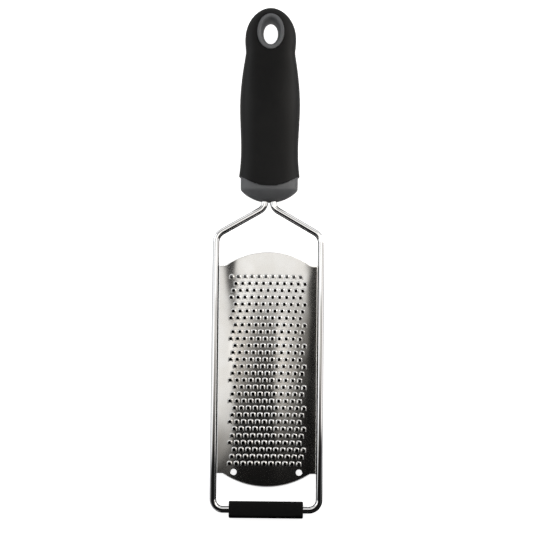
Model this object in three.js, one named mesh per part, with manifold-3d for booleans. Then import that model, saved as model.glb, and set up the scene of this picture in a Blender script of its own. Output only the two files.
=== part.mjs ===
import * as THREE from 'three';
import { mergeVertices } from 'three/addons/utils/BufferGeometryUtils.js';
import Module from 'manifold-3d';

const wasm = await Module();
wasm.setup();

// Hand-held fine cheese grater, in millimetres. The tool is drawn flat: Y runs from the cross bar at
// the tip (y = 0) to the end of the handle, X is across, and z = 0 is the plane of the wire.
// At the end it is laid on its foot and the belly of its handle, grating face up.

// Fits
const fitGap = 0.3; // between pieces that are moulded, welded or pressed together

// Wire frame
const wireDiameter = 4;
const railSpacing = 62.7; // between the centres of the rails
const cornerRadius = 6; // bends beside the foot
const shoulderRadius = 7.5; // bends where the rails turn in
const diagonalAngle = THREE.MathUtils.degToRad(30.1); // from straight across
const neckRadius = 6; // bends into the handle
const tailGap = 1; // between the two tails
const tailStub = -0.4; // from the end of the bends to the handle, which just covers it
const tailLength = 46; // of wire held in the handle

// Grater plate
const sheetThickness = 0.6;
const plateGap = 13.3; // from the middle of the cross bar to the plate
const plateLength = 139; // between the middles of its round ends
const shoulderGap = 10.6; // from the plate to where the rails turn in
const archRadius = 95; // of the underside
const seatAngle = THREE.MathUtils.degToRad(30); // of the seat on the rail, up from its inner side
const lobeHeight = 7.9; // of the round ends
const lobeWidth = 51.4;
const locatorDiameter = 3.8;
const locatorSpacing = 38.4;
const locatorGap = 8.6; // from the plate's lower end

// Teeth
const columnPitch = 4.1;
const rowPitch = 4.1;
const rowsPerRepeat = 3; // each row is shifted by this share of a pitch
const lowerRowGap = 13.6; // from the plate's lower end to the first row
const upperRowGap = 14.2; // least gap from the last row to the plate's upper end
const sideGap = 7.9; // least gap from a tooth's middle to the plate's side
const toothWidth = 3.2; // at its open side, towards the tip
const toothBackWidth = 2.4;
const toothFront = 1.1; // from the middle of a tooth to its open side
const toothBack = 1.8; // and to the back of its hood
const toothHeight = 0.8;
const holeWidth = 1.5;
const holeFront = 0.9;
const holeBack = 0.8;

// Handle
const domeHeight = 7.3; // of the round end of the collar
const collarLength = 8.5; // along its sides
const collarStep = 1; // by which the grip stands proud of the collar
const gripLength = 101.7;
const gripBow = 6.6; // of the grip's front edge, towards the tip
const bowFade = 20; // length over which that bow dies away
const flareWidth = 36.2;
const waistWidth = 34.2;
const waistAt = 15; // from the grip's front edge, as is bellyAt
const bellyWidth = 36;
const bellyAt = 43;
const neckWidth = 28.8;
const neckFromEnd = 26.2;
const loopWidth = 30.6;
const loopEndLength = 18.4; // from the widest place of the loop to the end
const loopFrontLength = 25; // the same oval, towards the neck
const frontThickness = 20.4;
const bellyThickness = 24.4;
const loopThickness = 20;
const gripWall = 3;
const shoulderPower = 1.85; // of the fall from belly to neck
const neckBlend = 0.8; // rounding of the inner corner at the neck
const gripRoundness = 2.3; // exponent of the oval section at the front
const loopRoundness = 3; // the same at the loop
const endRoundness = 5; // of the loop's end, seen from the side

// Hanging eyelet
const eyeletWidth = 16.1;
const eyeletLength = 21.6;
const eyeletEndGap = 4.4; // from its far end to the end of the grip
const eyeletProud = 0.5; // over the grip
const eyeletRim = 1.2;
const eyeletEdge = 0.5; // rounding of the rim
const throatWidth = 8.5;
const throatLength = 13.3;

// Tip foot
const footLength = 43.8;
const footDepth = 9.8;
const footHeight = 8.4;
const footCorner = 1.6;
const footEdge = 0.7; // rounding of its ends

// Facets
const wireSides = 12;
const bendSteps = 4;
const boreSides = 12;
const sectionSides = 20;
const curveSteps = 8;
const cornerSteps = 2;
const edgeSteps = 2;
const endSteps = 6;
const domeSteps = 5;
const funnelSteps = 3;
const skinSpacing = 7; // most between two rings of the grip's skin
const spineSpacing = 15; // and of the spine inside it
const endTurn = 0.96; // share of the quarter turn at the loop's end where a small flat closes it
const cutMargin = 1; // by which a cutter passes the piece that it cuts

// Finishes
const chrome = { color: 0xd9dadc, roughness: 0.08, metalness: 1 };
const satinSteel = { color: 0xc9c8c4, roughness: 0.32, metalness: 1 };
const greyPlastic = { color: 0x55575a, roughness: 0.5, metalness: 0 };
const blackElastomer = { color: 0x1c1c1d, roughness: 0.7, metalness: 0 };
const blackRubber = { color: 0x121213, roughness: 0.75, metalness: 0 };

// What follows from these
const wireRadius = wireDiameter / 2;
const boreRadius = wireRadius + fitGap;
const railHalf = railSpacing / 2;
const tailHalf = (wireDiameter + tailGap) / 2;
const plateLow = plateGap;
const plateHigh = plateLow + plateLength;
const shoulderAt = plateHigh + shoulderGap;
const neckAt = shoulderAt + (railHalf - tailHalf) * Math.tan(diagonalAngle);
const neckTurn = Math.PI / 2 - diagonalAngle;
const domeTip = neckAt + neckRadius * Math.tan(neckTurn / 2) + tailStub;
const collarEdge = domeTip + domeHeight;
const gripFront = collarEdge + collarLength;
const gripEnd = gripFront + gripLength;
const tailEnd = domeTip + tailLength;
const neckFromFront = gripLength - neckFromEnd;
const loopAt = gripLength - loopEndLength;
const eyeletAt = gripEnd - eyeletEndGap - eyeletLength / 2;

// Solids and meshes

function asSolid(geometry) {
  const bare = geometry.clone();
  bare.deleteAttribute('normal');
  bare.deleteAttribute('uv');
  const welded = mergeVertices(bare);
  return new wasm.Manifold(new wasm.Mesh({
    numProp: 3,
    vertProperties: new Float32Array(welded.attributes.position.array),
    triVerts: new Uint32Array(welded.index.array),
  }));
}

function asGeometry(solid) {
  const { vertProperties, triVerts } = solid.getMesh();
  const geometry = new THREE.BufferGeometry();
  geometry.setAttribute('position', new THREE.BufferAttribute(vertProperties, 3));
  geometry.setIndex(new THREE.BufferAttribute(triVerts, 1));
  return geometry;
}

function facetGeometry(facets) {
  return new THREE.BufferGeometry().setFromPoints(facets.flat());
}

function piece(name, geometry, finish) {
  const mesh = new THREE.Mesh(geometry, new THREE.MeshStandardMaterial({ ...finish, flatShading: true }));
  mesh.name = name;
  return mesh;
}

function midpoint(ring) {
  const sum = ring.reduce((total, point) => total.add(point), new THREE.Vector3());
  return sum.divideScalar(ring.length);
}

// A skin over rings of equal count, closed by a fan at both ends. Seen along the way that the rings
// run, each ring goes anticlockwise.
function loft(rings) {
  const facets = [];
  const count = rings[0].length;
  const first = midpoint(rings[0]);
  const last = midpoint(rings.at(-1));
  for (let i = 0; i < count; i += 1) {
    const next = (i + 1) % count;
    facets.push([first, rings[0][i], rings[0][next]]);
    facets.push([last, rings.at(-1)[next], rings.at(-1)[i]]);
    for (let r = 0; r + 1 < rings.length; r += 1) {
      const near = rings[r];
      const far = rings[r + 1];
      facets.push([near[i], far[i], far[next]]);
      facets.push([near[i], far[next], near[next]]);
    }
  }
  return facetGeometry(facets);
}

// Even steps from one value up to another, without the last
function spread(from, to, steps) {
  return Array.from({ length: steps }, (_, i) => from + (to - from) * i / steps);
}

// Wire frame: one wire, from tail to tail

// A way through corners, with an arc of the given radius at each. Every stop has its direction.
function roundedWay(corners) {
  const stops = [];
  corners.forEach(({ at, radius }, i) => {
    const before = corners[i - 1];
    const after = corners[i + 1];
    if (!before || !after) {
      const along = before ? at.clone().sub(before.at) : after.at.clone().sub(at);
      stops.push({ at, along: along.normalize() });
      return;
    }
    const into = at.clone().sub(before.at).normalize();
    const out = after.at.clone().sub(at).normalize();
    const turn = Math.atan2(into.cross(out), into.dot(out));
    const start = at.clone().addScaledVector(into, -radius * Math.tan(Math.abs(turn) / 2));
    const inward = new THREE.Vector2(-into.y, into.x).multiplyScalar(Math.sign(turn));
    const centre = start.clone().addScaledVector(inward, radius);
    for (let step = 0; step <= bendSteps; step += 1) {
      const angle = turn * step / bendSteps;
      stops.push({
        at: start.clone().rotateAround(centre, angle),
        along: into.clone().rotateAround(new THREE.Vector2(), angle),
      });
    }
  });
  return stops;
}

function wireFrame() {
  const corner = (x, y, radius) => ({ at: new THREE.Vector2(x, y), radius });
  const half = (side) => [
    corner(side * tailHalf, tailEnd, 0),
    corner(side * tailHalf, neckAt, neckRadius),
    corner(side * railHalf, shoulderAt, shoulderRadius),
    corner(side * railHalf, 0, cornerRadius),
  ];
  const way = roundedWay([...half(-1), ...half(1).reverse()]);
  const rings = way.map(({ at, along }) => Array.from({ length: wireSides }, (_, i) => {
    const angle = 2 * Math.PI * i / wireSides;
    const across = wireRadius * Math.cos(angle);
    return new THREE.Vector3(at.x + along.y * across, at.y - along.x * across, wireRadius * Math.sin(angle));
  }));
  return loft(rings);
}

// Grater plate: a sheet punched flat, then rolled to its arch. Flat points are (along the arc, y, height).

const seatHalf = railHalf - boreRadius * Math.cos(seatAngle);
const seatHeight = boreRadius * Math.sin(seatAngle);
const archCentre = seatHeight - Math.sqrt(archRadius ** 2 - seatHalf ** 2);
const sheetHalf = archRadius * Math.asin(seatHalf / archRadius);
const rows = 1 + Math.floor((plateLength - lowerRowGap - upperRowGap) / rowPitch);
const rowShift = columnPitch / rowsPerRepeat;
const widestShift = rowShift * (rowsPerRepeat - 1) / 2;
const columns = 1 + Math.floor(2 * (sheetHalf - sideGap - widestShift) / columnPitch);

function rolled({ x, y, z }) {
  const angle = x / archRadius;
  const radius = archRadius + z;
  return new THREE.Vector3(radius * Math.sin(angle), y, archCentre + radius * Math.cos(angle));
}

// Fills the strip between two runs of points that both go towards +x
function ladder(lower, upper) {
  const facets = [];
  let i = 0;
  let j = 0;
  while (i + 1 < lower.length || j + 1 < upper.length) {
    const noUpper = j + 1 === upper.length;
    if (noUpper || (i + 1 < lower.length && lower[i + 1].x <= upper[j + 1].x)) {
      facets.push([lower[i], lower[i + 1], upper[j]]);
      i += 1;
    } else {
      facets.push([lower[i], upper[j + 1], upper[j]]);
      j += 1;
    }
  }
  return facets;
}

// Fills the band between two loops that go anticlockwise round the same middle
function band(outer, inner, middle) {
  const turn = (loop, i) => {
    const { x, y } = loop[i % loop.length];
    const laps = Math.floor(i / loop.length);
    return Math.atan2(y - middle.y, x - middle.x) + 2 * Math.PI * laps;
  };
  const facets = [];
  let i = 0;
  let j = 0;
  while (i < outer.length || j < inner.length) {
    const here = outer[i % outer.length];
    const there = inner[j % inner.length];
    const outerFirst = i < outer.length && turn(outer, i + 1) <= turn(inner, j + 1);
    if (outerFirst || j === inner.length) {
      facets.push([here, outer[(i + 1) % outer.length], there]);
      i += 1;
    } else {
      facets.push([here, inner[(j + 1) % inner.length], there]);
      j += 1;
    }
  }
  return facets;
}

const atHeight = (points, z) => points.map(({ x, y }) => new THREE.Vector3(x, y, z));
const turnedOver = (facets) => facets.map(([a, b, c]) => [a, c, b]);

// One tooth in its cell: a hood raised round the back and sides of a hole, open towards the tip
function toothCell(corners, middle) {
  const spot = (x, y, z) => new THREE.Vector3(middle.x + x, middle.y + y, z);
  const halfFront = toothWidth / 2;
  const halfBack = toothBackWidth / 2;
  const halfHole = holeWidth / 2;
  const top = sheetThickness;
  const edge = top + toothHeight;
  const foot = [
    spot(-halfFront, -toothFront, top),
    spot(halfFront, -toothFront, top),
    spot(halfBack, toothBack, top),
    spot(-halfBack, toothBack, top),
  ];
  const mouth = [
    spot(-halfHole, -holeFront, top),
    spot(halfHole, -holeFront, top),
    spot(halfHole, holeBack, edge),
    spot(-halfHole, holeBack, edge),
  ];
  const below = atHeight(mouth, 0);
  const walls = mouth.flatMap((point, i) => {
    const next = (i + 1) % mouth.length;
    return [[point, mouth[next], below[next]], [point, below[next], below[i]]];
  });
  return [
    ...band(atHeight(corners, top), foot, middle),
    ...band(foot, mouth, middle),
    ...walls,
    ...turnedOver(band(atHeight(corners, 0), below, middle)),
  ];
}

function graterPlate() {
  const firstRow = plateLow + lowerRowGap;
  const lineAt = (line) => firstRow + (line - 1 / 2) * rowPitch;
  const fieldHalf = (columns - 1) / 2 * columnPitch;
  const firstTooth = (row) => (row % rowsPerRepeat) * rowShift - widestShift - fieldHalf;
  const cellEdges = (row, lean) => Array.from({ length: columns + 1 }, (_, i) => (
    firstTooth(row) + (i - 1 / 2) * columnPitch + lean * rowShift / 2
  ));

  // Each line between rows has the corners of the cells on both of its sides
  const lines = Array.from({ length: rows + 1 }, (_, line) => {
    const spots = [-sheetHalf, sheetHalf];
    if (line > 0) spots.push(...cellEdges(line - 1, 1));
    if (line < rows) spots.push(...cellEdges(line, -1));
    spots.sort((a, b) => a - b);
    const apart = spots.filter((x, i) => i === 0 || x - spots[i - 1] > rowShift / 2);
    return apart.map((x) => new THREE.Vector3(x, lineAt(line), 0));
  });
  const endLine = (y) => [...spread(-sheetHalf, sheetHalf, columns), sheetHalf]
    .map((x) => new THREE.Vector3(x, y, 0));
  const lowest = endLine(plateLow - cutMargin);
  const highest = endLine(plateHigh + cutMargin);

  const facets = [];
  const fill = (lower, upper) => {
    facets.push(...ladder(atHeight(lower, sheetThickness), atHeight(upper, sheetThickness)));
    facets.push(...turnedOver(ladder(lower, upper)));
  };
  const wall = (from, to) => {
    const [above, back] = atHeight([to, from], sheetThickness);
    facets.push([from, to, above], [from, above, back]);
  };
  const upTo = (line, x) => line.filter((point) => point.x <= x + rowShift / 2);
  const beyond = (line, x) => line.filter((point) => point.x >= x - rowShift / 2);

  for (let row = 0; row < rows; row += 1) {
    const lower = cellEdges(row, -1);
    const upper = cellEdges(row, 1);
    fill(upTo(lines[row], lower[0]), upTo(lines[row + 1], upper[0]));
    fill(beyond(lines[row], lower.at(-1)), beyond(lines[row + 1], upper.at(-1)));
    for (let column = 0; column < columns; column += 1) {
      const corners = [
        new THREE.Vector3(lower[column], lineAt(row), 0),
        new THREE.Vector3(lower[column + 1], lineAt(row), 0),
        new THREE.Vector3(upper[column + 1], lineAt(row + 1), 0),
        new THREE.Vector3(upper[column], lineAt(row + 1), 0),
      ];
      const middle = new THREE.Vector3(firstTooth(row) + column * columnPitch, firstRow + row * rowPitch, 0);
      facets.push(...toothCell(corners, middle));
    }
  }
  fill(lowest, lines[0]);
  fill(lines[rows], highest);
  const allLines = [lowest, ...lines, highest];
  for (let line = 0; line + 1 < allLines.length; line += 1) {
    wall(allLines[line + 1][0], allLines[line][0]);
    wall(allLines[line].at(-1), allLines[line + 1].at(-1));
  }
  for (let i = 0; i + 1 < lowest.length; i += 1) {
    wall(lowest[i], lowest[i + 1]);
    wall(highest[i + 1], highest[i]);
  }
  const sheet = asSolid(facetGeometry(facets.map((facet) => facet.map(rolled))));
  return asGeometry(sheet.intersect(plateOutline()).subtract(locatorHole(-1)).subtract(locatorHole(1)));
}

// The plate seen from above: square shoulders at the rails and a round lobe at each end
function plateOutline() {
  const wide = seatHalf + sheetThickness + cutMargin;
  const lobeHalf = lobeWidth / 2;
  const lobeRadius = (lobeHalf ** 2 + lobeHeight ** 2) / (2 * lobeHeight);
  const lobeAngle = Math.asin(lobeHalf / lobeRadius);
  const down = -Math.PI / 2;
  const up = Math.PI / 2;
  const outline = new THREE.Shape();
  outline.moveTo(-wide, plateHigh - lobeHeight);
  outline.lineTo(-wide, plateLow + lobeHeight);
  outline.absarc(0, plateLow + lobeRadius, lobeRadius, down - lobeAngle, down + lobeAngle);
  outline.lineTo(wide, plateLow + lobeHeight);
  outline.lineTo(wide, plateHigh - lobeHeight);
  outline.absarc(0, plateHigh - lobeRadius, lobeRadius, up - lobeAngle, up + lobeAngle);
  const crown = archCentre + archRadius + sheetThickness + toothHeight;
  const block = new THREE.ExtrudeGeometry(outline, {
    depth: crown + 2 * cutMargin,
    bevelEnabled: false,
    curveSegments: curveSteps,
  });
  return asSolid(block.translate(0, 0, -cutMargin));
}

function locatorHole(side) {
  const radius = locatorDiameter / 2;
  const height = 2 * (archCentre + archRadius + sheetThickness + cutMargin);
  const drill = new THREE.CylinderGeometry(radius, radius, height, boreSides).rotateX(Math.PI / 2);
  return asSolid(drill.translate(side * locatorSpacing / 2, plateLow + locatorGap, 0));
}

// Handle: an oval section carried along Y. Its sizes are worked out at a distance from the grip's
// front edge, and inset moves the whole surface inwards.

function smoothMax(a, b, blend) {
  return (a + b + Math.hypot(a - b, blend)) / 2;
}

function ease(t) {
  return (1 - Math.cos(Math.PI * THREE.MathUtils.clamp(t, 0, 1))) / 2;
}

function sizeAtLoop(distance, half, inset, power) {
  const past = distance - loopAt;
  const reach = past > 0 ? loopEndLength - inset : loopFrontLength;
  const share = Math.min(1, Math.abs(past) / reach);
  return (half - inset) * (1 - share ** power) ** (1 / power);
}

function halfWidth(distance, inset) {
  if (distance >= loopAt) return sizeAtLoop(distance, loopWidth / 2, inset, 2);
  if (distance <= waistAt) {
    const share = (waistAt - distance) / waistAt;
    return THREE.MathUtils.lerp(waistWidth, flareWidth, share ** 2) / 2 - inset;
  }
  if (distance <= bellyAt) {
    const share = ease((distance - waistAt) / (bellyAt - waistAt));
    return THREE.MathUtils.lerp(waistWidth, bellyWidth, share) / 2 - inset;
  }
  const share = (distance - bellyAt) / (neckFromFront - bellyAt);
  const body = THREE.MathUtils.lerp(bellyWidth, neckWidth, share ** shoulderPower) / 2;
  const loop = sizeAtLoop(distance, loopWidth / 2, 0, 2);
  return smoothMax(body, loop, neckBlend * ease(share)) - inset;
}

function halfHeight(distance, inset) {
  if (distance >= loopAt) return sizeAtLoop(distance, loopThickness / 2, inset, endRoundness);
  const rise = ease(distance / bellyAt);
  const fall = ease((distance - bellyAt) / (neckFromFront - bellyAt));
  const body = THREE.MathUtils.lerp(frontThickness, bellyThickness, rise);
  return THREE.MathUtils.lerp(body, loopThickness, fall) / 2 - inset;
}

function bow(distance) {
  return gripBow * Math.max(0, 1 - Math.max(0, distance) / bowFade) ** 2;
}

function ovalRing(y, wide, high, roundness, bowed) {
  const swell = (value) => Math.sign(value) * Math.abs(value) ** (2 / roundness);
  return Array.from({ length: sectionSides }, (_, i) => {
    const angle = 2 * Math.PI * i / sectionSides;
    const across = swell(Math.cos(angle));
    return new THREE.Vector3(wide * across, y - bowed * (1 - across ** 2), high * swell(Math.sin(angle)));
  });
}

function gripRing(distance, inset) {
  const share = ease((distance - bellyAt) / (loopAt - bellyAt));
  const roundness = THREE.MathUtils.lerp(gripRoundness, loopRoundness, share);
  const wide = halfWidth(distance, inset);
  const high = halfHeight(distance, inset);
  return ovalRing(gripFront + distance, wide, high, roundness, bow(distance));
}

function endDistances(inset) {
  return [...spread(0, endTurn, endSteps), endTurn].map((share) => (
    loopAt + (loopEndLength - inset) * Math.sin(share * Math.PI / 2)
  ));
}

// Stops along the grip, at each place where its outline changes and no further apart than the spacing
function gripDistances(inset, spacing) {
  const places = [0, waistAt, bellyAt, neckFromFront, loopAt];
  const stops = places.slice(1).flatMap((place, i) => (
    spread(places[i], place, Math.ceil((place - places[i]) / spacing))
  ));
  return [...stops, ...endDistances(inset)];
}

const skinDistances = gripDistances(0, skinSpacing);

function spineRings(inset) {
  return gripDistances(inset, spineSpacing).map((distance) => gripRing(distance, inset));
}

function oval(width, length, z) {
  return Array.from({ length: sectionSides }, (_, i) => {
    const angle = -2 * Math.PI * i / sectionSides;
    return new THREE.Vector3(width / 2 * Math.cos(angle), eyeletAt + length / 2 * Math.sin(angle), z);
  });
}

// Hanging hole: a funnel from both faces down to the throat
function hangingHole(top) {
  const mouthWidth = eyeletWidth - 2 * eyeletRim;
  const mouthLength = eyeletLength - 2 * eyeletRim;
  const heights = [...spread(-1, 1, 2 * funnelSteps), 1];
  const rings = heights.map((height) => {
    const open = 1 - Math.sqrt(1 - height ** 2);
    const width = THREE.MathUtils.lerp(throatWidth, mouthWidth, open);
    const length = THREE.MathUtils.lerp(throatLength, mouthLength, open);
    return oval(width, length, height * top);
  });
  const above = oval(mouthWidth, mouthLength, top + cutMargin);
  const under = oval(mouthWidth, mouthLength, -top - cutMargin);
  return asSolid(loft([under, ...rings, above]));
}

function eyeletBoss(grow, height, edge) {
  const outline = new THREE.Shape();
  outline.absellipse(0, 0, eyeletWidth / 2 + grow, eyeletLength / 2 + grow, 0, 2 * Math.PI);
  const boss = new THREE.ExtrudeGeometry(outline, {
    depth: 2 * (height - edge),
    bevelEnabled: edge > 0,
    bevelThickness: edge,
    bevelSize: edge,
    bevelOffset: -edge,
    bevelSegments: edgeSteps,
    curveSegments: sectionSides / 2,
  });
  return asSolid(boss.translate(0, eyeletAt, edge - height));
}

function socket(side) {
  const start = domeTip - cutMargin;
  const depth = tailEnd + fitGap - start;
  const drill = new THREE.CylinderGeometry(boreRadius, boreRadius, depth, boreSides);
  return asSolid(drill.translate(side * tailHalf, start + depth / 2, 0));
}

// Hard core: the dome that the tails enter, the collar, the spine inside the grip and the eyelet
function handleCore() {
  const collarHalf = flareWidth / 2 - collarStep;
  const collarHigh = halfHeight(0, collarStep);
  const domeRadius = (collarHalf ** 2 + domeHeight ** 2) / (2 * domeHeight);
  const dome = [...spread(0, 1, domeSteps).slice(1), 1].map((share) => {
    const depth = domeHeight * share ** 2;
    const wide = Math.sqrt(domeRadius ** 2 - (domeRadius - depth) ** 2);
    return ovalRing(domeTip + depth, wide, collarHigh * wide / collarHalf, gripRoundness, 0);
  });
  const collarBack = ovalRing(gripFront - fitGap, collarHalf, collarHigh, gripRoundness, gripBow);
  const spine = spineRings(gripWall + fitGap);
  const spineFoot = spine[0].map((point) => point.clone().setY(point.y - fitGap));
  const top = loopThickness / 2 + eyeletProud;
  const moulding = asSolid(loft([...dome, collarBack, spineFoot, ...spine.slice(1)]));
  const body = moulding.add(eyeletBoss(0, top, eyeletEdge)).subtract(hangingHole(top));
  return asGeometry(body.subtract(socket(-1)).subtract(socket(1)));
}

// Soft grip: a sleeve over the spine, closed round the loop and open where the eyelet passes through
function gripSleeve() {
  const inside = spineRings(gripWall).reverse();
  const outside = skinDistances.map((distance) => gripRing(distance, 0));
  const sleeve = asSolid(loft([...inside, ...outside]));
  return asGeometry(sleeve.subtract(eyeletBoss(fitGap, loopThickness, 0)));
}

// Tip foot: a rubber block pushed over the cross bar
function tipFoot() {
  const block = new THREE.Shape();
  const deep = footDepth / 2;
  const high = footHeight / 2;
  const quarter = Math.PI / 2;
  block.absarc(deep - footCorner, high - footCorner, footCorner, 0, quarter);
  block.absarc(footCorner - deep, high - footCorner, footCorner, quarter, 2 * quarter);
  block.absarc(footCorner - deep, footCorner - high, footCorner, 2 * quarter, 3 * quarter);
  block.absarc(deep - footCorner, footCorner - high, footCorner, 3 * quarter, 4 * quarter);
  const body = new THREE.ExtrudeGeometry(block, {
    depth: footLength - 2 * footEdge,
    bevelThickness: footEdge,
    bevelSize: footEdge,
    bevelOffset: -footEdge,
    bevelSegments: edgeSteps,
    curveSegments: cornerSteps,
  });
  body.translate(0, 0, footEdge - footLength / 2);
  const bore = new THREE.CylinderGeometry(boreRadius, boreRadius, footLength + cutMargin, boreSides);
  const drilled = asSolid(body).subtract(asSolid(bore.rotateX(Math.PI / 2)));
  return asGeometry(drilled).rotateZ(Math.PI / 2).rotateY(Math.PI / 2);
}

// The tool rests on the sole of its foot and on the belly of its handle, so it leans up by this much
function restingLean() {
  const sole = footHeight / 2;
  const leans = skinDistances.map((distance) => {
    const reach = gripFront + distance - bow(distance);
    const depth = halfHeight(distance, 0);
    return Math.atan2(depth, reach) - Math.asin(sole / Math.hypot(reach, depth));
  });
  return Math.max(...leans);
}

const tool = new THREE.Group();
tool.rotation.x = restingLean();
tool.add(
  piece('wire_frame', wireFrame(), chrome),
  piece('grater_plate', graterPlate(), satinSteel),
  piece('handle_core', handleCore(), greyPlastic),
  piece('grip_sleeve', gripSleeve(), blackElastomer),
);

// The foot turns on the round bar, so its sole lies flat
const grater = new THREE.Group();
grater.add(tool, piece('tip_foot', tipFoot(), blackRubber));

const extent = new THREE.Box3().setFromObject(grater, true);
const middle = extent.getCenter(new THREE.Vector3());
grater.position.set(-middle.x, -middle.y, -extent.min.z);

export default grater;
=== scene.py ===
import math

import bmesh
import bpy
import numpy as np
from mathutils import Matrix, Vector


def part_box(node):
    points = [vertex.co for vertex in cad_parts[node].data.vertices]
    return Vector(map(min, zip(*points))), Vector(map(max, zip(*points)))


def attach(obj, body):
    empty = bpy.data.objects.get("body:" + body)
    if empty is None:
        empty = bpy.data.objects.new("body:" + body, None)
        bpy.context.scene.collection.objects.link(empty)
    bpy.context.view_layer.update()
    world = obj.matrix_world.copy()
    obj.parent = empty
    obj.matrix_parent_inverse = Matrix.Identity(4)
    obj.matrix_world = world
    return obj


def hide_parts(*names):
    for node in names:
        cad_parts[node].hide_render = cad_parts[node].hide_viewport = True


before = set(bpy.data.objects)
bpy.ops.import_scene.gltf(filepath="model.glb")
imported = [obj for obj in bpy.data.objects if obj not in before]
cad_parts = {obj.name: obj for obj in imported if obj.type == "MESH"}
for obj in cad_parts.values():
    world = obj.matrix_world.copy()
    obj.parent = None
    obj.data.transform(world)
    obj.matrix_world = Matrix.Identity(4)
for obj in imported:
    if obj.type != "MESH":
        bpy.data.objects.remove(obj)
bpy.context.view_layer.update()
print("frame:", ", ".join(sorted(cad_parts)))

mm = 0.001
fitGap = 0.3  # mm between two pieces that touch
weldReach = 1e-6  # metres within which two points are one

# The tool is measured in mm from the middle of its cross bar, in the plane of its wire,
# and lies with the lean that the rails of the CAD wire have.
barLow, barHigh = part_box("tip_foot")
barY = (barLow.y + barHigh.y) / 2
barZ = (barLow.z + barHigh.z) / 2

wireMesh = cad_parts["wire_frame"].data
wirePoints = np.empty(3 * len(wireMesh.vertices), np.float32)
wireMesh.vertices.foreach_get("co", wirePoints)
wirePoints = wirePoints.reshape(-1, 3).astype(float)
railPoints = wirePoints[wirePoints[:, 0] > wirePoints[:, 0].max() - weldReach]
lean = math.atan(np.polyfit(railPoints[:, 1], railPoints[:, 2], 1)[0])
print(f"lies at {math.degrees(lean):.2f} degrees from tip to handle")


def lay(x, y, z):
    # turns the tool's own mm about its bar by the lean, and sets them down where the foot stands, in metres
    x, y, z = np.broadcast_arrays(x, y, z)
    along = y * math.cos(lean) - z * math.sin(lean)
    above = y * math.sin(lean) + z * math.cos(lean)
    return np.stack([x * mm, barY + along * mm, barZ + above * mm], axis=-1)


def smooth(t):
    # cosine step from 0 at t = 0 to 1 at t = 1
    return (1 - np.cos(np.pi * np.clip(t, 0, 1))) / 2


def blend(a, b, share):
    # straight line from a to b
    return a + (b - a) * share


def softMax(a, b, reach):
    # the larger of two sizes, with the corner between them rounded over the reach
    return (a + b + np.hypot(a - b, reach)) / 2


def gridFaces(rows, columns, ring=False):
    # the four corners of each cell of a grid numbered row by row; a ring joins its last column to its first
    numbers = np.arange(rows * columns).reshape(rows, columns)
    beside = np.roll(numbers, -1, axis=1)
    cells = np.stack([numbers[:-1], beside[:-1], beside[1:], numbers[1:]], axis=-1)
    return cells if ring else cells[:, :-1]


def shell(name, patches):
    # puts patches of points and faces into one mesh, joins their shared borders and turns the faces outwards
    points = [corners.reshape(-1, 3) for corners, faces in patches]
    starts = np.cumsum([0] + [len(corners) for corners in points])
    quads = [faces.reshape(-1, 4) + start for (corners, faces), start in zip(patches, starts)]
    mesh = bpy.data.meshes.new(name)
    mesh.from_pydata(np.concatenate(points), [], np.concatenate(quads))
    welded = bmesh.new()
    welded.from_mesh(mesh)
    bmesh.ops.remove_doubles(welded, verts=welded.verts, dist=weldReach)
    bmesh.ops.recalc_face_normals(welded, faces=welded.faces)
    welded.to_mesh(mesh)
    welded.free()
    return mesh


def place(name, mesh, node, finish, sharpFrom):
    # stands for a CAD node, which it hides, smooth but for edges sharper than the given degrees
    mesh.shade_smooth()
    mesh.set_sharp_from_angle(angle=math.radians(sharpFrom))
    mesh.materials.clear()
    mesh.materials.append(finish)
    piece = bpy.data.objects.new(name, mesh)
    bpy.context.scene.collection.objects.link(piece)
    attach(piece, "root")
    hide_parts(node)
    low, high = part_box(node)
    corners = np.array(piece.bound_box)
    drift = np.abs(np.stack([corners.min(0) - low, corners.max(0) - high])).max() / mm
    print(f"{name}: {len(mesh.polygons)} faces, box within {drift:.2f} mm of {node}")
    return piece


class Value:
    # a socket in a shader tree: sums and products of it add Math nodes
    def __init__(self, tree, socket):
        self.tree = tree
        self.socket = socket

    def maths(self, operation, first, second):
        return self.tree.node("ShaderNodeMath", {"operation": operation}, {0: first, 1: second})

    def __add__(self, other):
        return self.maths("ADD", self, other)

    def __radd__(self, other):
        return self.maths("ADD", other, self)

    def __sub__(self, other):
        return self.maths("SUBTRACT", self, other)

    def __rsub__(self, other):
        return self.maths("SUBTRACT", other, self)

    def __mul__(self, other):
        return self.maths("MULTIPLY", self, other)

    def __rmul__(self, other):
        return self.maths("MULTIPLY", other, self)

    def __pow__(self, other):
        return self.maths("POWER", self, other)

    def __rpow__(self, other):
        return self.maths("POWER", other, self)

    def least(self, other):
        return self.maths("MINIMUM", self, other)

    def size(self):
        return self.tree.node("ShaderNodeMath", {"operation": "ABSOLUTE"}, {0: self})

    def ramp(self, low, high, course="LINEAR"):
        # straight line from 0 at low to 1 at high
        inputs = {"Value": self, "From Min": low, "From Max": high}
        return self.tree.node("ShaderNodeMapRange", {"interpolation_type": course}, inputs)

    def step(self, low, high):
        # smooth step from 0 at low to 1 at high
        return self.ramp(low, high, "SMOOTHSTEP")

    def between(self, rise, fall):
        # 0 before the rise and past the fall, 1 from one to the other
        return self.step(*rise) * (1 - self.step(*fall))


def rgba(colour):
    # a plain colour with its alpha, and a socket as it is
    return colour if isinstance(colour, Value) else (*colour, 1)


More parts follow.
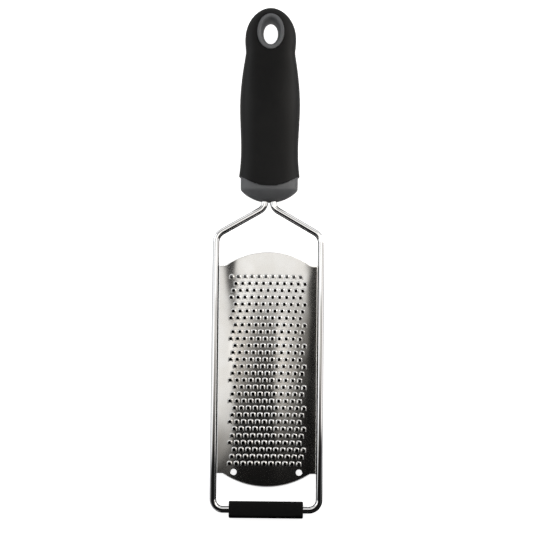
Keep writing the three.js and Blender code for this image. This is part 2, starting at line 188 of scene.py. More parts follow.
class Tree:
    # the nodes of a material or of the world
    def __init__(self, owner):
        owner.use_nodes = True
        self.nodeTree = owner.node_tree
        self.nodeTree.nodes.clear()

    def node(self, kind, settings, inputs, output=0):
        made = self.nodeTree.nodes.new(kind)
        for name, setting in settings.items():
            setattr(made, name, setting)
        for name, value in inputs.items():
            if isinstance(value, Value):
                self.nodeTree.links.new(value.socket, made.inputs[name])
            else:
                made.inputs[name].default_value = value
        return Value(self, made.outputs[output]) if made.outputs else made

    def spot(self, kind="Object"):
        return self.node("ShaderNodeTexCoord", {}, {}, kind)

    def axis(self, name, kind="Object"):
        # one coordinate: metres, or the direction of a ray where it is Generated in the world
        return self.node("ShaderNodeSeparateXYZ", {}, {0: self.spot(kind)}, name)

    def ray(self, kind):
        return self.node("ShaderNodeLightPath", {}, {}, kind)

    def noise(self, size, detail, scale=(1, 1, 1)):
        # noise between 0 and 1 with spots of the given size in mm, drawn out along each axis by the scale
        drawn = self.node("ShaderNodeVectorMath", {"operation": "MULTIPLY"}, {0: self.spot(), 1: scale})
        inputs = {"Vector": drawn, "Scale": 1 / (size * mm), "Detail": detail, "Roughness": 0.55}
        return self.node("ShaderNodeTexNoise", {}, inputs)

    def colours(self, share, first, second):
        inputs = {0: share, 6: rgba(first), 7: rgba(second)}
        return self.node("ShaderNodeMix", {"data_type": "RGBA"}, inputs, 2)

    def bump(self, height, depth, strength):
        inputs = {"Height": height, "Distance": depth * mm, "Strength": strength}
        return self.node("ShaderNodeBump", {}, inputs)

    def glow(self, strength, colour=(1, 1, 1)):
        return self.node("ShaderNodeEmission", {}, {"Color": rgba(colour), "Strength": strength})

    def clear(self):
        return self.node("ShaderNodeBsdfTransparent", {}, {})

    def sum(self, first, second):
        return self.node("ShaderNodeAddShader", {}, {0: first, 1: second})

    def either(self, share, first, second):
        return self.node("ShaderNodeMixShader", {}, {0: share, 1: first, 2: second})

    def show(self, shader):
        self.node("ShaderNodeOutputMaterial", {}, {"Surface": shader})

    def surface(self, inputs):
        self.show(self.node("ShaderNodeBsdfPrincipled", {}, inputs))


def newFinish(name):
    material = bpy.data.materials.new(name)
    return material, Tree(material)


# sizes of spots and depths of bumps are in mm
chrome = dict(dull=(0.80, 0.80, 0.81), bright=(0.88, 0.88, 0.885), gloss=0.03, smear=0.04,
              smearSize=9.0, smearDrawn=(1, 0.35, 1), smearFrom=(0.45, 0.75),
              lineSize=0.5, lineDrawn=(1, 0.05, 1), lineDepth=0.002, lineStrength=0.5)


def brightChrome():
    # smears and fine drawing lines along the rails
    material, tree = newFinish("brightChrome")
    smear = tree.noise(chrome["smearSize"], 3.0, chrome["smearDrawn"])
    lines = tree.noise(chrome["lineSize"], 2.0, chrome["lineDrawn"])
    tree.surface({
        "Base Color": tree.colours(smear, chrome["dull"], chrome["bright"]),
        "Metallic": 1.0,
        "Roughness": chrome["gloss"] + chrome["smear"] * smear.step(*chrome["smearFrom"]),
        "Normal": tree.bump(lines, chrome["lineDepth"], chrome["lineStrength"]),
    })
    return material


# cut is the colour of a painted highlight along the cut edge; dull is painted shade where the plate faces the
# rails
steel = dict(warm=(0.56, 0.545, 0.52), clear=(0.63, 0.628, 0.622),
             cut=(0.90, 0.90, 0.90), dull=(0.05, 0.05, 0.05), satin=0.095, smear=0.06, rough=0.25,
             brushSize=0.35, brushDrawn=(1, 0.04, 1), stainSize=14.0, stainFrom=(0.3, 0.7),
             grainSize=0.45, grainShare=0.4, brushShare=0.5, depth=0.0025, strength=0.6,
             cutEdgeHighlight=(0.5, 0.4), paintedRailShade=(0.09, 0.04), lobeSide=(1.2, 0.2))  # mm in from the plate's side


def edgeIn(size, edge):
    # start and end of an edge in metres, from mm in from a size
    return [(size - end) * mm for end in edge]


def satinSteel():
    # brushed lengthwise and faintly stained; its cut edge has a painted highlight, a bright line in its
    # colour, and painted shade darkens it where it faces the rails
    material, tree = newFinish("satinSteel")
    brushed = tree.noise(steel["brushSize"], 3.0, steel["brushDrawn"])
    stain = tree.noise(steel["stainSize"], 4.0)
    grain = tree.noise(steel["grainSize"], 2.0)
    across = tree.axis("X").size()
    low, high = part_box("grater_plate")
    along = (tree.axis("Y") - (low.y + high.y) / 2).size() - ((high.y - low.y) / 2 - lobeRadius * mm)
    reach = (across * across + along * along) ** 0.5  # from the middle of the arc at either end
    # painted highlight: a band along the cut edge, at the sides and round the lobe, takes the bright cut
    # colour; the band is also rougher
    side = across.step(*edgeIn(seatHalf, steel["cutEdgeHighlight"]))
    lobe = reach.step(*edgeIn(lobeRadius, steel["cutEdgeHighlight"]))
    cutEdgeHighlight = side + lobe * (1 - across.step(*edgeIn(lobeHalf, steel["lobeSide"])))
    mottle = blend(stain.step(*steel["stainFrom"]), grain, steel["grainShare"])
    sheet = tree.colours(mottle, steel["warm"], steel["clear"])
    rim = tree.colours(cutEdgeHighlight, sheet, steel["cut"])
    # painted shade: a dark strip in the colour where the plate's edge meets the rails
    paintedRailShade = across.step(*edgeIn(seatHalf, steel["paintedRailShade"]))
    smear = steel["smear"] * blend(stain, brushed, steel["brushShare"])
    tree.surface({
        "Base Color": tree.colours(paintedRailShade, rim, steel["dull"]),
        "Metallic": 1.0,
        "Roughness": steel["satin"] + smear + steel["rough"] * cutEdgeHighlight,
        "Normal": tree.bump(blend(brushed, grain, steel["grainShare"]), steel["depth"], steel["strength"]),
    })
    return material


plastic = dict(deep=(0.082, 0.084, 0.089), pale=(0.105, 0.108, 0.112), gloss=0.40, spread=0.14, specular=0.4,
               cloudSize=6.0, sparkSize=0.28, sparkTint=0.4, sparkMatt=0.5,
               sparkDepth=0.02, sparkStrength=0.5)


def greyPlastic():
    # cloudy, with the fine spark texture of its mould
    material, tree = newFinish("greyPlastic")
    cloud = tree.noise(plastic["cloudSize"], 4.0)
    spark = tree.noise(plastic["sparkSize"], 2.0)
    clouded = blend(cloud, spark, plastic["sparkTint"])
    tree.surface({
        "Base Color": tree.colours(clouded, plastic["deep"], plastic["pale"]),
        "Roughness": plastic["gloss"] + plastic["spread"] * blend(cloud, spark, plastic["sparkMatt"]),
        "Specular IOR Level": plastic["specular"],
        "Normal": tree.bump(spark, plastic["sparkDepth"], plastic["sparkStrength"]),
    })
    return material


grip = dict(deep=(0.003, 0.003, 0.0032), dusty=(0.005, 0.0049, 0.0048), matt=0.40, spread=0.14, specular=0.17,
            sheen=0.04, sheenRough=0.4, dustSize=11.0, dustFrom=(0.3, 0.7),
            poreSize=0.32, poreTint=0.3, poreMatt=0.6, poreDepth=0.025, poreStrength=0.6)


def softElastomer():
    # a little dusty, with fine pores
    material, tree = newFinish("softElastomer")
    dust = tree.noise(grip["dustSize"], 5.0)
    pores = tree.noise(grip["poreSize"], 2.0)
    dusted = blend(dust.step(*grip["dustFrom"]), pores, grip["poreTint"])
    tree.surface({
        "Base Color": tree.colours(dusted, grip["deep"], grip["dusty"]),
        "Roughness": grip["matt"] + grip["spread"] * blend(dust, pores, grip["poreMatt"]),
        "Specular IOR Level": grip["specular"],
        "Sheen Weight": grip["sheen"],
        "Sheen Roughness": grip["sheenRough"],
        "Normal": tree.bump(pores, grip["poreDepth"], grip["poreStrength"]),
    })
    return material


rubber = dict(deep=(0.0022, 0.0022, 0.0023), worn=(0.0042, 0.004, 0.0039), matt=0.55, spread=0.2,
              specular=0.15, wearSize=5.0, poreSize=0.4, poreDepth=0.02, poreStrength=0.5)


def mouldedRubber():
    # worn in patches, with fine pores
    material, tree = newFinish("mouldedRubber")
    wear = tree.noise(rubber["wearSize"], 4.0)
    pores = tree.noise(rubber["poreSize"], 2.0)
    tree.surface({
        "Base Color": tree.colours(wear, rubber["deep"], rubber["worn"]),
        "Roughness": rubber["matt"] + rubber["spread"] * pores,
        "Specular IOR Level": rubber["specular"],
        "Normal": tree.bump(pores, rubber["poreDepth"], rubber["poreStrength"]),
    })
    return material


# sizes of the pieces are in mm and degrees
wire = dict(diameter=4.0, railSpacing=62.7, cornerRadius=6.0, shoulderRadius=7.5, shoulderGap=10.6,
            diagonalAngle=30.1, neckRadius=6.0, tailGap=1.0, tailStub=-0.4, tailLength=46.0,
            boreMargin=1.0, sides=32, boreSides=40, bendSteps=14, sharpFrom=40)
plate = dict(low=13.3, length=139.0, thickness=0.6, archRadius=95.0, seatAngle=30.0,
             lobeHeight=7.9, lobeWidth=51.4,
             locatorDiameter=3.8, locatorSpacing=38.4, locatorGap=8.6, locatorEdge=0.12,
             locatorLines=(12, 16), locatorRows=(1, 7),  # block of cells round a locating hole
             ripple=0.02, rippleAcross=(2.1, 1.3, 9), rippleAlong=(5.3, 0.8, 6),  # length, sway, its length
             rim=0.45, rimSteps=6, endSteps=10, sharpFrom=33)

wireRadius = wire["diameter"] / 2
boreRadius = wireRadius + fitGap
railHalf = wire["railSpacing"] / 2
tailHalf = (wire["diameter"] + wire["tailGap"]) / 2
diagonal = math.radians(wire["diagonalAngle"])
shoulderAt = plate["low"] + plate["length"] + wire["shoulderGap"]
neckAt = shoulderAt + (railHalf - tailHalf) * math.tan(diagonal)
domeTip = neckAt + wire["neckRadius"] * math.tan((math.pi / 2 - diagonal) / 2) + wire["tailStub"]


def bentWire():
    # a circle of the wire's radius carried along straight lines with an arc round each corner
    tailEnd = domeTip + wire["tailLength"]
    corners = np.array([-tailHalf + 1j * tailEnd, -tailHalf + 1j * neckAt, -railHalf + 1j * shoulderAt,
                        -railHalf, railHalf,
                        railHalf + 1j * shoulderAt, tailHalf + 1j * neckAt, tailHalf + 1j * tailEnd])
    half = [wire["neckRadius"], wire["shoulderRadius"], wire["cornerRadius"]]
    radii = half + half[::-1]
    heading = np.diff(corners) / np.abs(np.diff(corners))
    way = [corners[:1], corners[:1]]
    ahead = [heading[:1], heading[:1]]
    for corner, into, out, radius in zip(corners[1:-1], heading[:-1], heading[1:], radii):
        turn = np.angle(out / into)
        begin = corner - into * radius * math.tan(abs(turn) / 2)
        middle = begin + 1j * np.sign(turn) * into * radius
        swing = np.exp(1j * np.linspace(0, turn, wire["bendSteps"] + 1))
        way.append(middle + (begin - middle) * swing)
        ahead.append(into * swing)
    way = np.concatenate(way + [corners[-1:], corners[-1:]])
    ahead = np.concatenate(ahead + [heading[-1:], heading[-1:]])
    radius = np.full(len(way), wireRadius)
    radius[[0, -1]] = 0  # closes both ends
    around = np.linspace(0, 2 * np.pi, wire["sides"], endpoint=False)
    flat = way[:, None] + (-1j * ahead * radius)[:, None] * np.cos(around)
    above = radius[:, None] * np.sin(around)
    return [(lay(flat.real, flat.imag, above), gridFaces(len(way), wire["sides"], True))]


teeth = dict(pitch=4.1, rows=28, columns=11, firstRow=26.9,
             half=1.62, hole=0.88, height=0.58, front=1.4, ridge=0.62, crest=0.72, sill=0.06, toe=0.08,
             legEnd=0.65, cutBack=1.0, sillShare=0.5, taper=0.97, torn=0.98)

seat = math.radians(plate["seatAngle"])
seatHalf = railHalf - boreRadius * math.cos(seat)
archCentre = boreRadius * math.sin(seat) - math.sqrt(plate["archRadius"] ** 2 - seatHalf ** 2)
lobeHalf = plate["lobeWidth"] / 2
lobeRadius = (lobeHalf ** 2 + plate["lobeHeight"] ** 2) / (2 * plate["lobeHeight"])


def arcTo(across):
    # length along the arch from its middle to a distance across
    return plate["archRadius"] * math.asin(across / plate["archRadius"])


sheetHalf = arcTo(seatHalf)


def roll(u, y, h):
    # wraps the flat sheet round the arch: u runs along the arc of its underside and h stands out from it,
    # with a faint ripple, a product of two sines, that the punching leaves
    u, y, h = np.broadcast_arrays(u, y, h)
    length, sway, swayLength = plate["rippleAcross"]
    ripple = plate["ripple"] * np.sin(u / length + sway * np.sin(y / swayLength))
    length, sway, swayLength = plate["rippleAlong"]
    ripple = ripple * np.sin(y / length + sway * np.sin(u / swayLength))
    reach = plate["archRadius"] + h + ripple
    turn = u / plate["archRadius"]
    return lay(reach * np.sin(turn), y, archCentre + reach * np.cos(turn))


def toothedPlate():
    # a sheet on a lattice of a third of the tooth pitch, sheared along each row as the rows step sideways
    third = teeth["pitch"] / 3
    rows = np.arange(teeth["rows"])
    thick = plate["thickness"]
    faceEnds = ((thick, plate["rim"]), (0, 0))  # height of each face, and how far its border is drawn in
    lastLine = math.ceil(sheetHalf / third)
    fieldFrom = -3 * (teeth["columns"] // 2 + 1)  # lines between which the first row has its teeth
    fieldTo = fieldFrom + 3 * teeth["columns"]

    # plain cells of the tooth field: u = (line + climb) third, cut off at the sheet's sides
    climb = np.linspace(0, 1, 4)
    lines = np.arange(-lastLine - 1, lastLine + 1)
    u = (lines + climb[:, None]) * third
    y = teeth["firstRow"] + (rows[:, None] - 0.5 + climb) * teeth["pitch"]
    offset = lines[:-1] - rows[:, None] % 3
    plain = np.repeat((offset < fieldFrom) | (offset >= fieldTo), 3, axis=0).reshape(len(rows), 3, -1)
    cells = gridFaces(4, len(lines)) + 4 * len(lines) * rows[:, None, None, None]
    patches = [(roll(np.clip(u, inset - sheetHalf, sheetHalf - inset), y[..., None], h), cells[plain])
               for h, inset in faceEnds]

    # each tooth is a ring of twelve points, four along its open front, carried in from the cell's border:
    # up a horseshoe behind and beside the hole, down its torn inner edge, and through the hole to the bottom
    side = np.array([0, 1, 2, 3, 3, 3, 3, 2, 1, 0, 0, 0])
    rise = np.array([0, 0, 0, 0, 1, 2, 3, 3, 3, 3, 2, 1])
    borderU = (side + rise / 3 - 2) * third
    borderY = (rise - 1.5) * third
    half, hole, front = teeth["half"], teeth["hole"], teeth["front"]
    square = np.array([-1, -1, 1, 1, 1, 1, 0.8, 0.28, -0.28, -0.8, -1, -1])
    outerU = half * square
    outerU[1:3] = hole * square[1:3]
    outerArch = half * np.array([-0.34, 0.25, 0.8, 1, 1, 0.8, 0.25, -0.34])  # from leg to leg round the back
    outerY = np.append([-front] * 4, outerArch)
    sillY = teeth["sill"] - front
    innerU = hole * square
    innerArch = hole * np.array([-0.12, 0.45, 0.8, 1, 1, 0.8, 0.45, -0.12])
    innerY = np.append([-teeth["legEnd"], sillY, sillY, -teeth["legEnd"]], innerArch)
    ridgeU = blend(outerU, innerU, teeth["ridge"])
    ridgeY = blend(outerY, innerY, teeth["ridge"])
    ridgeY[[0, 3]] = teeth["toe"] - front
    holeU = innerU * np.where(innerY < -teeth["cutBack"], teeth["sillShare"], teeth["taper"])
    holeY = np.maximum(innerY, -teeth["cutBack"]) * teeth["taper"]
    ringU = np.stack([borderU, outerU, ridgeU, innerU, teeth["torn"] * innerU, holeU, holeU, borderU])
    ringY = np.stack([borderY, outerY, ridgeY, innerY, teeth["torn"] * innerY, holeY, holeY, borderY])
    crest = teeth["height"]
    ringH = np.array([0, 0, teeth["crest"] * crest, crest, 0, 0, -thick, -thick])[:, None] + thick
    quads = gridFaces(len(ringU), len(square), True)
    closed = np.ones(quads.shape[:2], bool)
    closed[1:4, 1] = False  # the front is open: the sheet runs in flat between the ends of the two legs
    left = len(square) * np.arange(1, 5) + 1
    right = left + 1
    ends = np.array([[left[0], right[0], right[3], left[3]], left, right])
    tooth = np.concatenate([quads[closed], ends])
    column = np.arange(teeth["columns"])
    toothU = (rows[:, None] % 3 - 1 + 3 * (column - teeth["columns"] // 2)) * third
    toothY = teeth["firstRow"] + rows[:, None] * teeth["pitch"] + 0 * column
    points = roll(toothU.reshape(-1, 1, 1) + ringU, toothY.reshape(-1, 1, 1) + ringY, ringH)
    patches.append((points, tooth + ringU.size * np.arange(toothU.size).reshape(-1, 1, 1)))

    # plain ends: straight lines from the outer row of cells to the lobe, an arc that ends in two shoulders
    lines = np.arange(-lastLine, lastLine + 1)
    lobeArc = arcTo(lobeHalf)
    lobeU = np.where(np.abs(lines) == round(lobeArc / third), np.sign(lines) * lobeArc, lines * third)
    across = np.clip(plate["archRadius"] * np.sin(lobeU / plate["archRadius"]), -lobeHalf, lobeHalf)
    drop = lobeRadius - np.sqrt(lobeRadius ** 2 - across ** 2)
    share = np.linspace(0, 1, plate["endSteps"] + 1)[:, None]
    middle = plate["low"] + plate["length"] / 2
    cells = gridFaces(len(share), len(lines))
    nearLine, farLine = plate["locatorLines"]
    nearRow, farRow = plate["locatorRows"]
    whole = np.ones(cells.shape[:2], bool)
    whole[nearRow:farRow, lastLine + nearLine:lastLine + farLine] = False
    whole[nearRow:farRow, lastLine - farLine:lastLine - nearLine] = False
    borders = []
    grids = []
    for h, inset in faceEnds:
        endU = np.clip(blend(lines * third, lobeU, share), inset - sheetHalf, sheetHalf - inset)
        lowY = blend(y[0, 0], plate["low"] + drop + inset, share)
        highY = 2 * middle - blend(2 * middle - y[-1, -1], plate["low"] + drop + inset, share)
        grids.append((endU, lowY))
        patches += [(roll(endU, lowY, h), cells[whole]), (roll(endU, highY, h), cells)]
        sideU = sheetHalf - inset
        sideY = np.concatenate([lowY[::-1, 0], y.ravel(), highY[:, 0]])
        borders.append([(endU[-1], lowY[-1]), (endU[-1], highY[-1]), (sideU, sideY), (-sideU, sideY)])

    # locating holes: the border of a block of cells carried to a circle and down through the sheet
    wide, deep = farLine - nearLine, farRow - nearRow
    west, east = lastLine + nearLine, lastLine + farLine
    over = np.r_[west:east + 1, [east] * deep, east - 1:west - 1:-1, [west] * (deep - 1)]
    down = np.r_[[nearRow] * (wide + 1), nearRow + 1:farRow + 1, [farRow] * wide, farRow - 1:nearRow:-1]
    (upperU, upperY), (lowerU, lowerY) = [(endU[down, over], lowY[down, over]) for endU, lowY in grids]
    holeU = arcTo(plate["locatorSpacing"] / 2)
    holeY = plate["low"] + plate["locatorGap"]
    angle = np.arctan2(upperY - holeY, upperU - holeU)
    edge = plate["locatorEdge"]
    radius = plate["locatorDiameter"] / 2 + np.array([edge, 0, 0])[:, None] + 0 * angle
    ringU = np.concatenate([upperU[None], holeU + radius * np.cos(angle), lowerU[None]])
    ringY = np.concatenate([upperY[None], holeY + radius * np.sin(angle), lowerY[None]])
    ringH = np.array([thick, thick, thick - edge, 0, 0])[:, None]
    faces = gridFaces(len(ringH), len(angle), True)
    patches += [(roll(mirror * ringU, ringY, ringH), faces) for mirror in (-1, 1)]

    # cut edges all round: a quarter circle from the border of the upper face, then straight to the lower one
    turn = np.linspace(0, 1, plate["rimSteps"] + 1) ** 2 * np.pi / 2
    out = np.append(np.sin(turn), 1)[:, None]
    h = np.append(thick - plate["rim"] * (1 - np.cos(turn)), 0)[:, None]
    for (upperU, upperY), (lowerU, lowerY) in zip(*borders):
        rim = roll(blend(upperU, lowerU, out), blend(upperY, lowerY, out), h)
        patches.append((rim, gridFaces(*rim.shape[:2])))
    return patches


handle = dict(length=101.7, flareWidth=36.2, waistWidth=34.2, waistAt=15.0, bellyWidth=36.0, bellyAt=43.0,
              neckWidth=28.8, neckFromEnd=26.2, loopWidth=30.6, loopEnd=18.4, loopFront=25.0,
              frontThick=20.4, bellyThick=24.4, loopThick=20.0, shoulderPower=1.85, neckBlend=0.8,
              bow=6.6, bowFade=20.0, roundness=2.3, loopRoundness=3.0, endRoundness=5.0, wall=3.0,
              stepsToHole=45, stepsOfHole=40, stepsPastHole=12, points=41, sharpFrom=40)
core = dict(domeHeight=7.3, domeReach=1.12, domeRings=26, collarLength=8.5, collarStep=1.0, collarRings=7,
            crease=0.5, points=61, sharpFrom=35)
eyelet = dict(width=16.1, length=21.6, endGap=4.4, proud=0.5, rim=1.2, edge=0.5,
              throatWidth=8.5, throatLength=13.3, overlap=1.0, sides=96, edgePoints=6, funnelPoints=33)

collarEdge = domeTip + core["domeHeight"]
gripFront = collarEdge + core["collarLength"]
loopAt = handle["length"] - handle["loopEnd"]
neckFromFront = handle["length"] - handle["neckFromEnd"]
eyeletFrom = handle["length"] - eyelet["endGap"] - eyelet["length"] / 2
holeRows = handle["stepsToHole"] + np.arange(handle["stepsOfHole"] + 1)  # stations along the hole


def loopSize(distance, half, inset, power):
    # half a size of the loop: full at its middle, and 0 at both ends along a superellipse of that power
    past = distance - loopAt
    reach = np.where(past > 0, handle["loopEnd"] - inset, handle["loopFront"])
    share = np.clip(np.abs(past) / reach, 0, 1)
    return (half - inset) * (1 - share ** power) ** (1 / power)


def halfWidth(distance, inset):
    # a flare that ends at the waist, a cosine swell to the belly, a power curve to the neck, and the loop
    flareShare = np.clip(1 - distance / handle["waistAt"], 0, 1) ** 2
    flare = blend(handle["waistWidth"], handle["flareWidth"], flareShare) / 2
    swell = smooth((distance - handle["waistAt"]) / (handle["bellyAt"] - handle["waistAt"]))
    belly = blend(handle["waistWidth"], handle["bellyWidth"], swell) / 2
    share = np.clip((distance - handle["bellyAt"]) / (neckFromFront - handle["bellyAt"]), 0, None)
    body = blend(handle["bellyWidth"], handle["neckWidth"], share ** handle["shoulderPower"]) / 2
    loop = loopSize(distance, handle["loopWidth"] / 2, 0, 2)
    neck = softMax(body, loop, handle["neckBlend"] * smooth(share))
    end = loopSize(distance, handle["loopWidth"] / 2, inset, 2)
    stretches = [distance <= handle["waistAt"], distance <= handle["bellyAt"], distance < loopAt]
    return np.select(stretches, [flare - inset, belly - inset, neck - inset], end)


def halfHeight(distance, inset):
    # cosine rise to the belly and fall to the loop, whose end is squarer
    rise = smooth(distance / handle["bellyAt"])
    fall = smooth((distance - handle["bellyAt"]) / (neckFromFront - handle["bellyAt"]))
    body = blend(blend(handle["frontThick"], handle["bellyThick"], rise), handle["loopThick"], fall) / 2
    end = loopSize(distance, handle["loopThick"] / 2, inset, handle["endRoundness"])
    return np.where(distance < loopAt, body - inset, end)


def roundness(distance):
    # power of the oval: a cosine step from the belly to the loop
    share = smooth((distance - handle["bellyAt"]) / (loopAt - handle["bellyAt"]))
    return blend(handle["roundness"], handle["loopRoundness"], share)


def bowAt(distance):
    # a square fall to 0 where the bow of the front edge has died away
    return handle["bow"] * np.clip(1 - distance / handle["bowFade"], 0, 1) ** 2


def holeHalf(distance, width, length):
    # half the width of an oval hole at each distance along the grip
    share = np.clip((distance - eyeletFrom) / (length / 2), -1, 1)
    return width / 2 * np.sqrt(1 - share ** 2)


def halfSection(y, wide, high, power, bowed, hole, count):
    # one side of an oval, from the hole's upper edge round to its lower one:
    # x = wide cos^(2/n), z = high sin^(2/n), and y is drawn towards the tip by the bow in the middle
    y, wide, high, power, bowed, hole = [size[:, None] for size in (y, wide, high, power, bowed, hole)]
    holeShare = np.divide(hole, wide, out=np.zeros_like(wide), where=wide > 1e-9)
    edge = np.arccos(np.clip(holeShare, 0, 1) ** (power / 2))
    angle = np.linspace(1, -1, count) * edge
    across = np.clip(np.cos(angle), 0, 1) ** (2 / power)
    above = np.sign(angle) * np.abs(np.sin(angle)) ** (2 / power)
    return wide * across, y - bowed * (1 - across ** 2), high * above


def bothSides(x, y, z):
    # a grid of points and its mirror image across x
    faces = gridFaces(*x.shape)
    return [(lay(mirror * x, y, z), faces) for mirror in (1, -1)]


def gripStations(inset, holeLength):
    # distances along the grip: even steps to the hole, cosine steps through it, and closer ones round the end
    before = np.linspace(0, eyeletFrom - holeLength / 2, handle["stepsToHole"] + 1)
    turn = np.linspace(0, np.pi, handle["stepsOfHole"] + 1)[1:]
    through = eyeletFrom - holeLength / 2 * np.cos(turn)
    last = np.sin(np.linspace(0, np.pi / 2, handle["stepsPastHole"] + 1)[1:])
    past = blend(through[-1], handle["length"] - inset, last)
    return np.concatenate([before, through, past])


def gripSkin(inset, holeWidth, holeLength):
    # half sections at each station of the grip, drawn in by the inset
    distance = gripStations(inset, holeLength)
    hole = holeHalf(distance, holeWidth, holeLength)
    return halfSection(gripFront + distance, halfWidth(distance, inset), halfHeight(distance, inset),
                       roundness(distance), bowAt(distance), hole, handle["points"])


def softGrip():
    # a sleeve: the outer skin, the inner one, a flat lip in front and a wall round the eyelet
    holeWidth = eyelet["width"] + 2 * fitGap
    holeLength = eyelet["length"] + 2 * fitGap
    outer = gripSkin(0, holeWidth, holeLength)
    inner = gripSkin(handle["wall"], holeWidth, holeLength)
    patches = bothSides(*outer) + bothSides(*inner)
    patches += bothSides(*[np.stack([a[0], b[0]]) for a, b in zip(outer, inner)])
    for edge in (0, -1):
        wall = [np.stack([a[holeRows, edge], b[holeRows, edge]]) for a, b in zip(outer, inner)]
        patches += bothSides(*wall)
    return patches


def coreBody():
    # ovals along the dome, an arc of a circle, the collar, whose back edge follows the grip's, and the spine
    collarHalf = handle["flareWidth"] / 2 - core["collarStep"]
    collarHigh = handle["frontThick"] / 2 - core["collarStep"]
    domeRadius = (collarHalf ** 2 + core["domeHeight"] ** 2) / (2 * core["domeHeight"])
    depth = core["domeHeight"] * np.linspace(0, core["domeReach"], core["domeRings"]) ** 2
    arc = np.sqrt(domeRadius ** 2 - np.clip(domeRadius - depth, 0, None) ** 2)
    wide = np.where(depth > 0, arc + collarHalf - softMax(arc, collarHalf, core["crease"]), 0)
    collar = np.linspace(0, 1, core["collarRings"] + 1)[1:]
    collarY = blend(domeTip + depth[-1], gripFront - fitGap, collar)
    full = np.ones_like(collar)

    inset = handle["wall"] + fitGap
    holeWidth = eyelet["width"] - eyelet["overlap"]
    holeLength = eyelet["length"] - eyelet["overlap"]
    spine = gripStations(inset, holeLength)
    spineY = gripFront + spine - np.where(spine == 0, fitGap, 0)
    y = np.concatenate([domeTip + depth, collarY, spineY])
    wideAll = np.concatenate([wide, collarHalf * full, halfWidth(spine, inset)])
    highAll = np.concatenate([wide * collarHigh / collarHalf, collarHigh * full, halfHeight(spine, inset)])
    power = np.concatenate([handle["roundness"] + 0 * depth, handle["roundness"] * full, roundness(spine)])
    bowed = np.concatenate([0 * depth, handle["bow"] * collar, bowAt(spine)])
    hole = np.concatenate([0 * depth, 0 * collar, holeHalf(spine, holeWidth, holeLength)])
    sections = halfSection(y, wideAll, highAll, power, bowed, hole, core["points"])
    wallRows = len(depth) + len(collar) + holeRows
    wall = [np.stack([size[wallRows, 0], size[wallRows, -1]]) for size in sections]
    return bothSides(*sections) + bothSides(*wall)


def eyeletRing():
    # a closed profile carried round an oval: outer wall, rounded rim and a trumpet down to the throat,
    # as high as the skin of the grip beside it
    around = np.linspace(0, 2 * np.pi, eyelet["sides"], endpoint=False)
    turn = np.linspace(0, np.pi / 2, eyelet["edgePoints"])
    funnel = np.linspace(np.pi / 2, -np.pi / 2, eyelet["funnelPoints"])
    outer = np.array([eyelet["width"], eyelet["length"]]) / 2
    mouth = outer - eyelet["rim"]
    throat = np.array([eyelet["throatWidth"], eyelet["throatLength"]]) / 2
    rim = outer - eyelet["edge"] * (1 - np.cos(turn))[:, None]
    rimDown = eyelet["edge"] * (1 - np.sin(turn))
    opening = blend(throat, mouth, (1 - np.cos(funnel))[:, None])
    halves = np.concatenate([rim, opening, rim[::-1]])
    level = np.concatenate([np.ones_like(turn), np.sin(funnel), -np.ones_like(turn)])
    below = np.concatenate([rimDown, 0 * funnel, -rimDown[::-1]])
    x = halves[:, :1] * np.cos(around)
    along = halves[:, 1:] * np.sin(around)
    rimFrom = eyeletFrom + outer[1] * np.sin(around)
    share = np.clip(outer[0] * np.abs(np.cos(around)) / halfWidth(rimFrom, 0), 0, 1)
    power = roundness(rimFrom)
    top = halfHeight(rimFrom, 0) * (1 - share ** power) ** (1 / power) + eyelet["proud"]
    z = level[:, None] * top - below[:, None]
    y = gripFront + eyeletFrom + along
    rows = np.r_[np.arange(len(level)), 0]  # back to the first row closes the profile
    return [(lay(x[rows], y[rows], z[rows]), gridFaces(len(rows), len(around), True))]


def socketDrill():
    # two tubes along the tails, a gap wider than the wire
    around = np.linspace(0, 2 * np.pi, wire["boreSides"], endpoint=False)
    begin, end = -wire["boreMargin"], wire["tailLength"] + fitGap
    stops = np.array([begin, begin, end, end])[:, None]
    radius = boreRadius * np.array([0, 1, 1, 0])[:, None]
    return [(lay(side * tailHalf + radius * np.cos(around), domeTip + stops, radius * np.sin(around)),
             gridFaces(len(stops), len(around), True)) for side in (-1, 1)]


def cutOut(mesh, cutter):
    # the mesh less the cutter, by an exact Boolean
    body = bpy.data.objects.new("body", mesh)
    drill = bpy.data.objects.new("drill", cutter)
    for part in (body, drill):
        bpy.context.scene.collection.objects.link(part)
    cut = body.modifiers.new("cut", "BOOLEAN")
    cut.object = drill
    cut.solver = "EXACT"
    left = bpy.data.meshes.new_from_object(body.evaluated_get(bpy.context.evaluated_depsgraph_get()))
    for part in (body, drill):
        bpy.data.objects.remove(part)
    return left


def greyCore():
    # dome, collar and spine with two sockets for the tails, and the eyelet
    joined = bmesh.new()
    joined.from_mesh(cutOut(shell("coreBody", coreBody()), shell("drill", socketDrill())))
    joined.from_mesh(shell("eyelet", eyeletRing()))
    mesh = bpy.data.meshes.new("greyCore")
    joined.to_mesh(mesh)
    joined.free()
    return mesh


foot = dict(length=43.8, depth=9.8, height=8.4, corner=1.6, edge=0.7,
            cornerPoints=8, edgePoints=6, sharpFrom=40)


